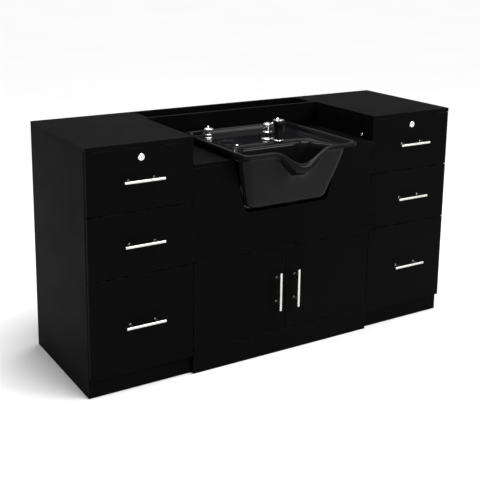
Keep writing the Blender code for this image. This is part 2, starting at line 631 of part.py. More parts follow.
def drain_trap():
    """Tailpiece, water-sealed trap and waste arm: one pipe, thicker at its slip nuts."""
    x, y = DRAIN_AT
    bend = 0.042
    low, waste = 0.445, WASTE_HEIGHT
    pipe, nut, flange = 0.017, 0.025, 0.030
    route = [((x, y, DRAIN_UNDER - GAP), flange), ((x, y, 0.550), flange),
             ((x, y, 0.5495), pipe), ((x, y, low + 0.030), pipe),
             ((x, y, low + 0.0295), nut), ((x, y, low + 0.008), nut), ((x, y, low + 0.0075), pipe)]
    route += [(point, pipe) for point in arc_points((x, y + bend, low), bend, 180, 360, 12)]
    elbow = 0.036
    route += [(point, pipe) for point in
              arc_points((x, y + 2 * bend + elbow, waste - elbow), elbow, 180, 90, 6)]
    arm = y + 2 * bend + elbow
    route += [((x, arm + 0.012, waste), pipe), ((x, arm + 0.0125, waste), nut),
              ((x, arm + 0.034, waste), nut), ((x, arm + 0.0345, waste), pipe),
              ((x, 0.505, waste), pipe)]
    curve = bpy.data.curves.new("drain_trap", "CURVE")
    curve.dimensions = "3D"
    curve.bevel_depth = pipe
    curve.bevel_resolution = 4
    curve.use_fill_caps = True
    spline = curve.splines.new("POLY")
    spline.points.add(len(route) - 1)
    for point, (position, radius) in zip(spline.points, route):
        point.co = (*world(*position), 1.0)
        point.radius = radius / pipe
    place(bpy.data.objects.new("drain_trap", curve), "pipe_plastic")


def shank(radius):
    """Profile of a threaded shank through the deck, clamped by its nut, down to its open end."""
    nut_top = DECK_UNDER - GAP
    return [(radius, DECK + GAP), (radius, nut_top), (NUT_RADIUS, nut_top),
            (NUT_RADIUS, nut_top - NUT_HEIGHT), (radius, nut_top - NUT_HEIGHT),
            (radius, SHANK_LOW)]


def faucet():
    """A deck mixer without a spout: a body, a cap that turns and a lever that lifts."""
    base = DECK + GAP
    neck_top = 0.846
    body_profile = [(0.0, neck_top), (0.0155, neck_top), (0.0165, neck_top - 0.001),
                    (0.0165, 0.8290), (0.0195, 0.8250), (0.0200, 0.8240), (0.0200, base + 0.007),
                    (0.0215, base + 0.0055), (0.0260, base + 0.003), (0.0260, base)]
    turned("faucet_body", "chrome", body_profile + shank(SHANK_RADIUS) + [(0.0, SHANK_LOW)],
           (*FAUCET_AT, 0.0))
    turn = pivot("faucet_turn", (*FAUCET_AT, neck_top))
    cap = [(0.0, 0.8610), (0.0080, 0.8602), (0.0140, 0.8575), (0.0175, 0.8530),
           (0.0175, neck_top + GAP), (0.0, neck_top + GAP)]
    turned("faucet_cap", "chrome", [(r, z - neck_top) for r, z in cap], (*FAUCET_AT, neck_top),
           parent=turn)
    x, y = FAUCET_AT
    root_x, root_z = x + LEVER_ROOT, 0.8535
    lever = bmesh.new()
    add_cylinder(lever, (root_x, y, root_z), (root_x + 0.0310, y, root_z + 0.0190), 0.0045, 14,
                 0.0035)
    place(from_bmesh("faucet_lever", lever, world(root_x, y, root_z)), "chrome", turn)


def vacuum_breaker():
    """Two-tier backflow valve on the deck, with its threaded tail."""
    base = DECK + GAP
    profile = [(0.0, 0.8435), (0.0035, 0.8430), (0.0045, 0.8410), (0.0045, 0.8385),
               (0.0150, 0.8375), (0.0205, 0.8350), (0.0225, 0.8310), (0.0225, 0.8260),
               (0.0195, 0.8225), (0.0120, 0.8215), (0.0120, 0.8145), (0.0150, 0.8130),
               (0.0168, 0.8110), (0.0168, 0.8000), (0.0185, 0.7985), (0.0185, base)]
    turned("vacuum_breaker", "chrome", profile + shank(SHANK_RADIUS) + [(0.0, SHANK_LOW)],
           (*BREAKER_AT, 0.0))


def spray():
    """A hand spray that stands face up in its deck bushing."""
    seat = DECK + 0.0055
    tail, bore = 0.0075, 0.0085
    profile = [(0.0, 0.8765), (0.0190, 0.8765), (0.0220, 0.8750), (0.0230, 0.8720),
               (0.0230, 0.8640), (0.0205, 0.8540), (0.0175, 0.8460), (0.0165, 0.8380),
               (0.0165, 0.8150), (0.0150, seat), (tail, seat), (tail, SHANK_LOW), (0.0, SHANK_LOW)]
    body = pivot("spray_lift", (*SPRAY_AT, seat))
    turned("spray_head", "spray_black", [(r, z - seat) for r, z in profile], (*SPRAY_AT, seat),
           parent=body)
    flange_top = seat - GAP
    ring = [(0.0175, flange_top), (0.0200, DECK + 0.0030), (0.0200, DECK + GAP)]
    turned("spray_bushing", "chrome",
           ring + shank(0.0120) + [(bore, SHANK_LOW), (bore, flange_top)], (*SPRAY_AT, 0.0))


clear_scene()
PARTS = new_collection("shampoo_backwash_unit")
CUTTERS = new_collection("cutters")
CUTTERS.hide_render = True
for side_name, side_sign in SIDES:
    inner_panel = tower(side_name, side_sign)
    for drawer_size in DRAWERS:
        drawer(drawer_size, side_name, side_sign)
    centre_side(side_name, side_sign)
    door(side_name, side_sign)
joining_bolt(inner_panel)
centre_carcass()
bowl()
strainer()
drain_trap()
faucet()
vacuum_breaker()
spray()
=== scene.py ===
"""The looks of a shampoo backwash unit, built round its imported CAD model.

Boards get banded edges, the runners, hinges, handles and locks their own metalwork, and the bowl
a smooth moulded shell. Every piece is made in place, in the row frame: metres, +Z up, the front
faces -Y. Points written as (x, y, z) measure y back from the plane of the doors and drawer fronts.
"""
import json
import math
from collections import namedtuple

import bmesh
import bpy
from mathutils import Matrix, Vector

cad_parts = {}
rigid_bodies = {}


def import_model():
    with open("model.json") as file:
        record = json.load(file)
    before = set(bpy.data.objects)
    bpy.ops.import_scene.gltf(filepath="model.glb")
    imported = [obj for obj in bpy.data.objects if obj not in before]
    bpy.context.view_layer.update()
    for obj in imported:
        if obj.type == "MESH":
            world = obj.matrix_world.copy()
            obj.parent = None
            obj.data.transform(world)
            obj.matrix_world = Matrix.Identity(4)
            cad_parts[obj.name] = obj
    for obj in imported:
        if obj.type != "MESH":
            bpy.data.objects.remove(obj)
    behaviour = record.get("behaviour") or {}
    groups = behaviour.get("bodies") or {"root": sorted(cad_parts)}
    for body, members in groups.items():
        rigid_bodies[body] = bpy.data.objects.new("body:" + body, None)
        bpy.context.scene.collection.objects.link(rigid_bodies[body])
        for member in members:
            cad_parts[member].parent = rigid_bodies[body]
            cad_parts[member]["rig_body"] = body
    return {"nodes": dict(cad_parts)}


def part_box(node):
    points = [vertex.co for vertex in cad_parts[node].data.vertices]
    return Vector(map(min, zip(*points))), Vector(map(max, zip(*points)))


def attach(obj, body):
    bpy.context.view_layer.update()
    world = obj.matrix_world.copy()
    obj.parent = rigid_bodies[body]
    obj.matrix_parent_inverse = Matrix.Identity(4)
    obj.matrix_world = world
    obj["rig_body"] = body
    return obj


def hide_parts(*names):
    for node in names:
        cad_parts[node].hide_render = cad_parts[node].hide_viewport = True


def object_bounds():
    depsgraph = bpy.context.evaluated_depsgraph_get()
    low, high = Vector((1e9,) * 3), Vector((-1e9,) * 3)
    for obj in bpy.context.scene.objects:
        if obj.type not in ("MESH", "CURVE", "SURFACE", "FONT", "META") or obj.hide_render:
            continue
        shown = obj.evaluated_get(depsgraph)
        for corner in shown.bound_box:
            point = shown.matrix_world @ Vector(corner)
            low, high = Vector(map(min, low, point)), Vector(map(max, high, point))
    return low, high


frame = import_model()
CAD_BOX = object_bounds()

SIDES = (("left", -1), ("right", 1))
LEVELS = ("top", "middle", "bottom")
UP, OUTWARD, BACKWARD = (0.0, 0.0, 1.0), (0.0, -1.0, 0.0), (0.0, 1.0, 0.0)
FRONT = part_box("fascia")[0].y
# The clearance between parts that fit together, the rounding of a board's banded edges, and the
# angle in degrees from which an edge is shaded sharp
GAP = 0.0003
EDGE = 0.0007
SHARP_ANGLE = 35.0

# Places and sizes that the model's boxes don't give; y is measured back from the front plane.
# Towers, drawer boxes and runners: half widths from the middle of a tower, and the runners'
# height above a box's underside
TOWER_INNER_HALF = 0.184
BOX_HALF = 0.1713
BOX_WALL = 0.012
RUNNER_RISE = 0.0325
RUNNER_HALF = 0.0225
RUNNER_REACH = 0.0085
RUNNER_STEEL = 0.0014
RUNNER_SPAN = (0.0166, 0.462)
RUNNER_SCREWS = (0.055, 0.235, 0.420)
# Handles, locks, and the bolts that join the towers to the centre, placed by their y and z
HANDLE_RADIUS = 0.005
HANDLE_POSTS = 0.096
LOCK_HEIGHT = 0.837
LOCK_HOLE = 0.0103
BOLT_AT = (0.066, 0.802)
BOLT_HOLE = 0.0034
# The faces of the centre's side panels, the doors' backs and the hinges
CENTRE_OUTER = 0.39985
CENTRE_INNER = 0.384
DOOR_BACK = 0.0160
HINGE_CUP = 0.376
HINGE_HEIGHTS = (0.165, 0.345)
CUP_RADIUS = 0.0175
# The bowl's opening in the counter (half width, far edge, corner radius) and in the fascia (half
# widths at two heights, those heights, corner radius)
COUNTER_OPENING = (0.2365, 0.352, 0.030)
FASCIA_OPENING = (0.1840, 0.2400, 0.580, 0.790, 0.024)
# The service hatch in the back (half width, bottom, top) and the hole for the waste arm above it
HATCH = (0.150, 0.140, 0.360)
WASTE_HEIGHT = 0.490
WASTE_HOLE = 0.028
# The bowl's deck, its shank holes, its drain and where its fittings stand
DECK = 0.795
DECK_UNDER = 0.7873
SHANK_HOLE = 0.0130
SHANK_RADIUS = 0.0105
SHANK_LOW = 0.762
NUT_RADIUS = 0.0165
DRAIN_AT = (0.0, 0.062)
DRAIN_RADIUS = 0.021
DRAIN_UNDER = 0.559
DRAIN_TOP = 0.567
FAUCET_AT = (0.038, 0.203)
BREAKER_AT = (-0.156, 0.328)
SPRAY_AT = (0.060, 0.158)
DECK_RING_AT = (-0.128, 0.212)
DECK_BUTTON_AT = (-0.127, 0.160)
PLAIN_BOARDS = ["centre_floor", "centre_plinth", "backsplash"] + [
    part + side for part in ("tower_top_", "tower_back_", "tower_floor_", "tower_plinth_")
    for side in ("left", "right")]


# ---------------------------------------------------------------- materials
def noise(tree, vector, scale, detail=3.0, roughness=0.55):
    node = tree.nodes.new("ShaderNodeTexNoise")
    for socket, number in (("Scale", scale), ("Detail", detail), ("Roughness", roughness)):
        node.inputs[socket].default_value = number
    tree.links.new(vector, node.inputs["Vector"])
    return node.outputs["Fac"]


def mapping(tree, vector, scale, rotation=(0.0, 0.0, 0.0)):
    node = tree.nodes.new("ShaderNodeMapping")
    node.inputs["Scale"].default_value = scale
    node.inputs["Rotation"].default_value = rotation
    tree.links.new(vector, node.inputs["Vector"])
    return node.outputs["Vector"]


def remap(tree, value, low, high, start=0.3, end=0.7):
    node = tree.nodes.new("ShaderNodeMapRange")
    for socket, number in zip(("From Min", "From Max", "To Min", "To Max"),
                              (start, end, low, high)):
        node.inputs[socket].default_value = number
    tree.links.new(value, node.inputs["Value"])
    return node.outputs["Result"]


def mix_colours(tree, share, first, second):
    node = tree.nodes.new("ShaderNodeMix")
    node.data_type = "RGBA"
    tree.links.new(share, node.inputs["Factor"])
    for socket, colour in ((node.inputs[6], first), (node.inputs[7], second)):
        if isinstance(colour, tuple):
            socket.default_value = (*colour, 1.0)
        else:
            tree.links.new(colour, socket)
    return node.outputs[2]


def combine(tree, operation, first, second):
    node = tree.nodes.new("ShaderNodeMath")
    node.operation = operation
    tree.links.new(first, node.inputs[0])
    tree.links.new(second, node.inputs[1])
    return node.outputs[0]


def surface(name, dark, light, rough, metallic=0.0, specular=0.5, grain=(1.0, 1.0, 1.0),
            fine=500.0, broad=4.0, bump=0.00002, edge_wear_and_highlight=None, scuffs=0.0):
    """A procedural finish between a dark and a light tone, with fine grain and uneven gloss.

    rough is the lowest and highest roughness and specular the strength of the mirror light. fine
    and broad are the scales of the grain, which is also the relief, and of the tones; grain
    stretches the fine pattern along an axis, and bump is the relief's height in metres. The edge
    colour shows in patches where the edge attribute is high: on the drawer melamine it is wear, on
    the black laminate it is partly wear and partly a painted highlight along the banded edges.
    scuffs is the most roughness that slanting rubbed streaks add.
    """
    material = bpy.data.materials.new(name)
    material.use_nodes = True
    tree = material.node_tree
    shader = tree.nodes["Principled BSDF"]
    shader.inputs["Metallic"].default_value = metallic
    shader.inputs["Specular IOR Level"].default_value = specular
    place = tree.nodes.new("ShaderNodeTexCoord").outputs["Object"]
    grain_value = noise(tree, mapping(tree, place, grain), fine)
    tone = noise(tree, place, broad, detail=5.0, roughness=0.6)
    colour = mix_colours(tree, remap(tree, tone, 0.0, 1.0), dark, light)
    gloss = noise(tree, place, broad * 2.7, detail=6.0, roughness=0.65)
    middle = (rough[0] + rough[1]) / 2
    roughness = combine(tree, "ADD", remap(tree, gloss, rough[0], middle),
                        remap(tree, grain_value, 0.0, rough[1] - middle))
    # Edge colour in patches along the rounded edges: wear, and on the black laminate also a
    # painted highlight
    if edge_wear_and_highlight is not None:
        edge = tree.nodes.new("ShaderNodeAttribute")
        edge.attribute_name = "edge"
        edges = remap(tree, edge.outputs["Fac"], 0.0, 1.0, 0.6, 1.0)
        patches = remap(tree, noise(tree, place, 35.0, detail=4.0), 0.0, 1.0, 0.42, 0.72)
        colour = mix_colours(tree, combine(tree, "MULTIPLY", edges, patches), colour, edge_wear_and_highlight)
    if scuffs:
        streaks = mapping(tree, place, (260.0, 14.0, 120.0), (0.3, 0.2, 0.7))
        marks = remap(tree, noise(tree, streaks, 1.0, detail=2.0), 0.0, scuffs, 0.62, 0.78)
        roughness = combine(tree, "ADD", roughness, marks)
    tree.links.new(colour, shader.inputs["Base Color"])
    tree.links.new(roughness, shader.inputs["Roughness"])
    relief = tree.nodes.new("ShaderNodeBump")
    relief.inputs["Distance"].default_value = bump
    tree.links.new(grain_value, relief.inputs["Height"])
    tree.links.new(relief.outputs["Normal"], shader.inputs["Normal"])
    return material


# The laminate's much lighter edge colour is partly wear and partly a painted highlight along the
# banded edges
LAMINATE = surface("black_laminate", (0.0013, 0.0013, 0.0015), (0.0021, 0.0021, 0.0023),
                   (0.50, 0.64), specular=0.02, fine=1100.0, broad=3.0, bump=0.00003,
                   edge_wear_and_highlight=(0.020, 0.020, 0.021))
MELAMINE = surface("drawer_melamine", (0.50, 0.49, 0.47), (0.58, 0.57, 0.55), (0.42, 0.58),
                   fine=900.0, bump=0.00004, edge_wear_and_highlight=(0.44, 0.40, 0.34))
NICKEL, NICKEL_UPRIGHT = (
    surface(name, (0.60, 0.58, 0.55), (0.72, 0.70, 0.67), (0.22, 0.38), metallic=1.0, grain=grain,
            fine=2200.0, broad=30.0, bump=0.00001)
    for name, grain in (("satin_nickel", (0.03, 1.0, 1.0)),
                        ("satin_nickel_upright", (1.0, 1.0, 0.03))))
STEEL = surface("runner_steel", (0.50, 0.51, 0.53), (0.64, 0.65, 0.67), (0.28, 0.46),
                metallic=1.0, grain=(1.0, 0.08, 1.0), fine=900.0, broad=22.0, bump=0.00002)
CHROME = surface("chrome", (0.80, 0.81, 0.82), (0.88, 0.89, 0.90), (0.04, 0.12), metallic=1.0,
                 fine=300.0, broad=40.0, bump=0.000004)
BOWL_BLACK = surface("bowl_black", (0.0035, 0.0035, 0.0040), (0.0060, 0.0060, 0.0066),
                     (0.05, 0.13), specular=0.07, fine=160.0, broad=9.0, bump=0.00001,
                     scuffs=0.10)
SPRAY_BLACK = surface("spray_black", (0.006, 0.006, 0.007), (0.010, 0.010, 0.011), (0.16, 0.30),
                      specular=0.15, fine=700.0, broad=30.0, bump=0.00001)
PIPE = surface("pipe_plastic", (0.66, 0.66, 0.63), (0.76, 0.76, 0.73), (0.36, 0.52), fine=300.0,
               broad=12.0, bump=0.00004)


# ---------------------------------------------------------------- shapes
def at(x, y, z):
    """A point whose y is measured back from the front plane, in the row frame."""
    return Vector((x, FRONT + y, z))


def mesh_object(name, bm, angle=SHARP_ANGLE):
    """An object from a bmesh in the row frame, smooth but for edges sharper than angle."""
    bmesh.ops.recalc_face_normals(bm, faces=bm.faces)
    mesh = bpy.data.meshes.new(name)
    bm.to_mesh(mesh)
    bm.free()
    mesh.shade_smooth()
    mesh.set_sharp_from_angle(angle=math.radians(angle))
    obj = bpy.data.objects.new(name, mesh)
    bpy.context.scene.collection.objects.link(obj)
    return obj


def show(obj, material, slot, *nodes, body=None):
    """Finish a piece, and let it ride with and stand for its CAD nodes.

    The bowl is curved all over, so it keeps its own smooth normals. On boards and turned pieces
    weighted normals keep the flat faces flat beside their rounded edges.
    """
    if slot != "bowl_black":
        obj.modifiers.new("flat faces stay flat", "WEIGHTED_NORMAL").keep_sharp = True
    obj.data.materials.clear()
    obj.data.materials.append(material)
    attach(obj, body or frame["nodes"][nodes[0]]["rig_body"])
    if nodes:
        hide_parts(*nodes)
    return obj


def bevelled_box(bm, low, high, edge=EDGE, segments=2):
    """A box with rounded edges, on which the edge attribute is 1."""
    layer = bm.faces.layers.float.get("edge") or bm.faces.layers.float.new("edge")
    size = Vector(high) - Vector(low)
    middle = (Vector(low) + Vector(high)) / 2
    made = bmesh.ops.create_cube(bm, size=1.0, matrix=Matrix.Translation(middle)
                                 @ Matrix.Diagonal((*size, 1.0)))
    edges = list({e for v in made["verts"] for e in v.link_edges})
    bevel = bmesh.ops.bevel(bm, geom=edges, offset=edge, segments=segments, profile=0.5,
                            affect="EDGES", clamp_overlap=True)
    for face in bevel["faces"]:
        face.normal_update()
        face[layer] = 1.0


def outlined_board(bm, outline, span, axis, edge=EDGE):
    """A board cut to an outline of points in the plane across its axis, drawn out over span.

    The edge attribute is 1 on the narrow faces that round its edges.
    """
    layer = bm.faces.layers.float.get("edge") or bm.faces.layers.float.new("edge")

    def point(a, b, depth):
        return (at(depth, a, b), at(a, depth, b), at(a, b, depth))[axis]

    low = [bm.verts.new(point(a, b, span[0])) for a, b in outline]
    high = [bm.verts.new(point(a, b, span[1])) for a, b in outline]
    bm.faces.new(low)
    bm.faces.new(high)
    for i in range(len(low)):
        j = (i + 1) % len(low)
        bm.faces.new((low[i], low[j], high[j], high[i]))
    bmesh.ops.recalc_face_normals(bm, faces=bm.faces)
    bm.normal_update()
    sharp = [e for e in bm.edges if len(e.link_faces) == 2 and e.calc_face_angle() > 0.6]
    bmesh.ops.bevel(bm, geom=sharp, offset=edge, segments=2, profile=0.5, affect="EDGES")
    bm.normal_update()
    for face in bm.faces:
        narrow = face.calc_area() < 4 * edge * max(e.calc_length() for e in face.edges)
        face[layer] = float(narrow and abs(face.normal[axis]) <= 0.99)


def revolve(bm, centre, axis, profile, steps=48, ribs=False):
    """Turn a profile of (radius, height) points about an axis. It closes on the axis or round.

    With ribs, every other pair of the steps is drawn in, as on a nut made to be turned by hand.
    """
    axis = Vector(axis).normalized()
    across = axis.orthogonal().normalized()
    along = axis.cross(across)
    rings = []
    for radius, height in profile:
        foot = centre + axis * height
        if radius < 1e-7:
            rings.append([bm.verts.new(foot)])
        else:
            ring = []
            for i in range(steps):
                a = 2 * math.pi * i / steps
                reach = radius * (0.96 if ribs and i % 4 > 1 else 1.0)
                ring.append(bm.verts.new(foot + reach * (math.cos(a) * across
                                                         + math.sin(a) * along)))
            rings.append(ring)
    pairs = list(zip(rings, rings[1:]))
    if len(rings[0]) > 1 and len(rings[-1]) > 1:
        pairs.append((rings[-1], rings[0]))
    for first, second in pairs:
        for i in range(steps):
            j = (i + 1) % steps
            if len(first) == 1:
                bm.faces.new((first[0], second[i], second[j]))
            elif len(second) == 1:
                bm.faces.new((first[i], second[0], first[j]))
            else:
                bm.faces.new((first[i], second[i], second[j], first[j]))


def rounded(points, size, pieces=3, closed=False):
    """The same polyline with each corner rounded, by at most size along its two sides."""
    result = [] if closed else [tuple(points[0])]
    count = len(points)
    for i in range(0 if closed else 1, count if closed else count - 1):
        before, corner, after = (Vector(points[k % count]) for k in (i - 1, i, i + 1))
        into, out = before - corner, after - corner
        reach = min(size, 0.45 * into.length, 0.45 * out.length)
        start, end = corner + into.normalized() * reach, corner + out.normalized() * reach
        for step in range(pieces + 1):
            t = step / pieces
            result.append(tuple((1 - t) ** 2 * start + 2 * t * (1 - t) * corner + t * t * end))
    if not closed:
        result.append(tuple(points[-1]))
    return result


def cut(obj, *tools, operation="DIFFERENCE", angle=SHARP_ANGLE):
    """Cut tools out of a piece or join them to it, and remove them."""
    bpy.context.view_layer.update()
    for tool in tools:
        modifier = obj.modifiers.new("cut", "BOOLEAN")
        modifier.operation, modifier.solver, modifier.object = operation, "EXACT", tool
    graph = bpy.context.evaluated_depsgraph_get()
    mesh = bpy.data.meshes.new_from_object(obj.evaluated_get(graph), depsgraph=graph)
    obj.modifiers.clear()
    obj.data = mesh
    mesh.set_sharp_from_angle(angle=math.radians(angle))
    for tool in tools:
        bpy.data.objects.remove(tool)
    return obj


def rod(start, end, radius, steps=32):
    """A round cutter between two points."""
    bm = bmesh.new()
    length = (end - start).length
    revolve(bm, start, end - start, [(0.0, 0.0), (radius, 0.0), (radius, length), (0.0, length)],
            steps)
    return mesh_object("cutter", bm)


def pierce(obj, centre, rows, profile, steps):
    """Cut rings of small upright holes, given by their count and radius, through a piece."""
    holes = bmesh.new()
    for count, radius in rows:
        for i in range(count):
            a = 2 * math.pi * i / count
            foot = centre + Vector((radius * math.cos(a), radius * math.sin(a), 0.0))
            revolve(holes, foot, UP, profile, steps)
    return cut(obj, mesh_object("cutter", holes))


def turned(name, centre, axis, profile, fillet=0.0004, steps=48):
    """A piece of revolution whose profile's corners are eased by the fillet."""
    bm = bmesh.new()
    revolve(bm, centre, axis, rounded(profile, fillet), steps)
    return mesh_object(name, bm, 32.0)


# ---------------------------------------------------------------- cabinet
def middle_of(node):
    low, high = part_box(node)
    return (low + high) / 2


def plain_board(node, *holes):
    """The node's board with banded edges, and with round holes given by two ends and a radius."""
    bm = bmesh.new()
    bevelled_box(bm, *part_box(node))
    board = mesh_object(node + "_board", bm)
    tools = [rod(*hole) for hole in holes]
    show(cut(board, *tools) if tools else board, LAMINATE, "black_laminate", node)


def channel(bm, face, way, height, half, reach, y_span, steel=RUNNER_STEEL):
    """A folded steel channel on a board's face, open towards way."""
    section = [(0.0, -half), (reach, -half), (reach, steel - half), (steel, steel - half),
               (steel, half - steel), (reach, half - steel), (reach, half), (0.0, half)]
    section = [(face + way * across, height + up) for across, up in section]
    outlined_board(bm, rounded(section, 0.0012, 2, closed=True), y_span, 1, 0.00015)


def screw_head(bm, seat, outward, radius=0.0034):
    """A low domed screw head on a surface."""
    rise = radius * 0.4
    revolve(bm, seat, outward, [(0.0, rise * 0.55), (radius * 0.3, rise * 0.6),
                                (radius * 0.34, rise), (radius * 0.7, rise * 0.8),
                                (radius, rise * 0.25), (radius, 0.0), (0.0, 0.0)], 16)


def runner_height(side, level):
    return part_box("_".join(("drawer_box", side, level)))[0].z + RUNNER_RISE


def bolt_point(sign, inward):
    """A point on a joining bolt's axis, so far into the tower from the counter's side."""
    return at(sign * (CENTRE_OUTER + inward), *BOLT_AT)


def tower_sides(side, sign):
    """The two side boards, their cabinet runners, and the bolt hole in the inner one."""
    middle = middle_of("tower_top_" + side).x
    for node, way in (("tower_outer_side_" + side, sign), ("tower_inner_side_" + side, -sign)):
        low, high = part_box(node)
        face = middle + way * TOWER_INNER_HALF
        near, far = sorted((face, high.x if way > 0 else low.x))
        bm = bmesh.new()
        bevelled_box(bm, (near, low.y, low.z), (far, high.y, high.z))
        board = mesh_object(node + "_board", bm)
        if way == -sign:
            board = cut(board, rod(bolt_point(sign, -0.02), bolt_point(sign, 0.04), BOLT_HOLE))
        show(board, LAMINATE, "black_laminate", node)
        rails = bmesh.new()
        for level in LEVELS:
            height = runner_height(side, level)
            channel(rails, face, -way, height, RUNNER_HALF, RUNNER_REACH, RUNNER_SPAN)
            for y in RUNNER_SCREWS:
                screw_head(rails, at(face - way * RUNNER_STEEL, y, height), (-way, 0.0, 0.0))
        show(mesh_object(node + "_runners", rails), STEEL, "hinge_steel", node)


def joining_bolt(side, sign):
    """A bolt head just above the counter, and its nut inside the tower."""
    head = [(0.0, 0.0030), (0.0022, 0.0030), (0.0026, 0.0039), (0.0045, 0.0035), (0.0062, 0.0018),
            (0.0065, 0.0), (0.0030, 0.0), (0.0030, -0.0166), (0.0065, -0.0166),
            (0.0065, -0.0204), (0.0, -0.0204)]
    bolt = turned("joining_bolt_" + side + "_turned", bolt_point(sign, 0.0), (-sign, 0.0, 0.0),
                  head)
    nodes = ["joining_bolt"] if sign > 0 else []
    show(bolt, CHROME, "chrome", *nodes, body="root")


def centre_side(side, sign):
    """A panel stepped down to the counter in front, with its two hinge plates."""
    node = "centre_side_" + side
    low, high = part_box(node)
    counter_low, counter_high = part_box("counter_top")
    back = counter_high.y - FRONT + GAP
    shelf = counter_low.z - GAP
    outer, inner = sign * CENTRE_OUTER, sign * CENTRE_INNER
    outline = [(low.y - FRONT, 0.0), (high.y - FRONT, 0.0), (high.y - FRONT, high.z),
               (back, high.z), (back, shelf), (low.y - FRONT, shelf)]
    bm = bmesh.new()
    outlined_board(bm, outline, sorted((outer, inner)), 0)
    show(mesh_object(node + "_board", bm), LAMINATE, "black_laminate", node)
    plates = bmesh.new()
    for z in HINGE_HEIGHTS:
        for y_span, half, reach in (((0.034, 0.075), 0.0065, 0.0100),
                                    ((0.046, 0.063), 0.0118, 0.0030)):
            near, far = sorted((inner, inner - sign * reach))
            bevelled_box(plates, at(near, y_span[0], z - half), at(far, y_span[1], z + half),
                         0.0008)
        for up in (-0.0092, 0.0092):
            screw_head(plates, at(inner - sign * 0.0030, 0.0545, z + up), (-sign, 0.0, 0.0),
                       0.0024)
    show(mesh_object(node + "_hinge_plates", plates), STEEL, "hinge_steel", node)


def centre_back():
    """The back, with a service hatch and a hole for the waste arm."""
    low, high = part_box("centre_back")
    half, bottom, top = HATCH
    near, far = low.y - FRONT - 0.01, high.y - FRONT + 0.01
    board, hatch = bmesh.new(), bmesh.new()
    bevelled_box(board, low, high)
    bevelled_box(hatch, at(-half, near, bottom), at(half, far, top), 0.0010, 1)
    back = cut(mesh_object("centre_back_board", board), mesh_object("cutter", hatch),
               rod(at(0.0, near, WASTE_HEIGHT), at(0.0, far, WASTE_HEIGHT), WASTE_HOLE, 48))
    show(back, LAMINATE, "black_laminate", "centre_back")


def cut_board(node, opening, axis):
    """A board with the bowl's opening let into one edge. opening lists its points in order.

    axis is the board's thin one: 2 for the counter, cut into from its front edge, and 1 for the
    fascia, cut into from its top edge.
    """
    low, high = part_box(node)
    heights, depths = (low.z, high.z), (low.y - FRONT, high.y - FRONT)
    if axis == 1:
        span, (near, far) = depths, heights
        outline = [(low.x, near), (high.x, near), (high.x, far), *opening, (low.x, far)]
    else:
        span, (near, far) = heights, depths
        outline = [(low.x, near), *opening, (high.x, near), (high.x, far), (low.x, far)]
    bm = bmesh.new()
    outlined_board(bm, outline, span, axis)
    show(mesh_object(node + "_board", bm), LAMINATE, "black_laminate", node)


def counter_and_fascia():
    """The counter's opening is square with round far corners, the fascia's leans outwards."""
    half, back, corner = COUNTER_OPENING
    far = rounded([(-half, 0.0), (-half, back), (half, back), (half, 0.0)], corner, 8)
    cut_board("counter_top", far, 2)
    low_half, high_half, low_z, high_z, corner = FASCIA_OPENING
    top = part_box("fascia")[1].z
    lean = low_half + (high_half - low_half) * (top - low_z) / (high_z - low_z)
    low = rounded([(lean, top), (low_half, low_z), (-low_half, low_z), (-lean, top)], corner, 8)
    cut_board("fascia", low, 1)


def bar_handle(node, upright):
    """A satin bar with eased ends on two footed posts."""
    low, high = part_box(node)
    middle = (low + high) / 2
    bar_y = low.y + HANDLE_RADIUS
    along = Vector((0.0, 0.0, 1.0)) if upright else Vector((1.0, 0.0, 0.0))
    half = (high - low).dot(along) / 2
    centre = Vector((middle.x, bar_y, middle.z))
    radius = HANDLE_RADIUS
    end = [(0.0, -half), (radius - 0.0008, -half), (radius, 0.0008 - half)]
    profile = end + [(r, -h) for r, h in reversed(end)]
    bar = turned(node + "_bar", centre, along, profile, 0.0004, 32)
    posts = []
    for way in (-1, 1):
        foot = centre + along * way * HANDLE_POSTS / 2
        foot.y = FRONT - GAP
        reach = foot.y - bar_y
        post = [(0.0, 0.0), (0.0049, 0.0), (0.0049, 0.0008), (0.0040, 0.0022),
                (0.0036, reach / 2), (0.0040, reach - 0.0035), (0.0040, reach),
                (0.0, reach)]
        posts.append(turned("post", foot, OUTWARD, post, 0.0006, 24))
    handle = cut(bar, *posts, operation="UNION")
    show(handle, NICKEL_UPRIGHT if upright else NICKEL, "satin_nickel", node)


def drawer(side, level):
    """Front, five-board box and the drawer halves of its two runners."""
    tag = side + "_" + level
    lock_x = middle_of("lock_barrel_" + side).x
    hole = (at(lock_x, -0.02, LOCK_HEIGHT), at(lock_x, 0.03, LOCK_HEIGHT), LOCK_HOLE)
    plain_board("drawer_front_" + tag, *([hole] if level == "top" else []))
    bar_handle("drawer_handle_" + tag, False)
    node = "drawer_box_" + tag
    low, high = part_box(node)
    middle, thin, seam = (low.x + high.x) / 2, BOX_WALL, 0.00015
    inner = BOX_HALF - thin
    bm = bmesh.new()
    for way in (-1, 1):
        near, far = sorted((middle + way * inner, middle + way * BOX_HALF))
        bevelled_box(bm, (near, low.y, low.z), (far, high.y, high.z), 0.0005)
    left, right = middle - inner + seam, middle + inner - seam
    for y in (low.y, high.y - thin):
        bevelled_box(bm, (left, y, low.z), (right, y + thin, high.z), 0.0005)
    bevelled_box(bm, (left, low.y + thin + seam, low.z + 0.004),
                 (right, high.y - thin - seam, low.z + thin), 0.0005)
    show(mesh_object(node + "_boards", bm), MELAMINE, "drawer_melamine", node)
    rails = bmesh.new()
    height = runner_height(side, level)
    for way in (-1, 1):
        side_face = middle + way * BOX_HALF
        channel(rails, side_face, way, height, 0.0175, 0.0022, RUNNER_SPAN, 0.0010)
        channel(rails, side_face + way * 0.0010, way, height, 0.0120, 0.0082, RUNNER_SPAN)
    show(mesh_object(node + "_runners", rails), STEEL, "hinge_steel", node)


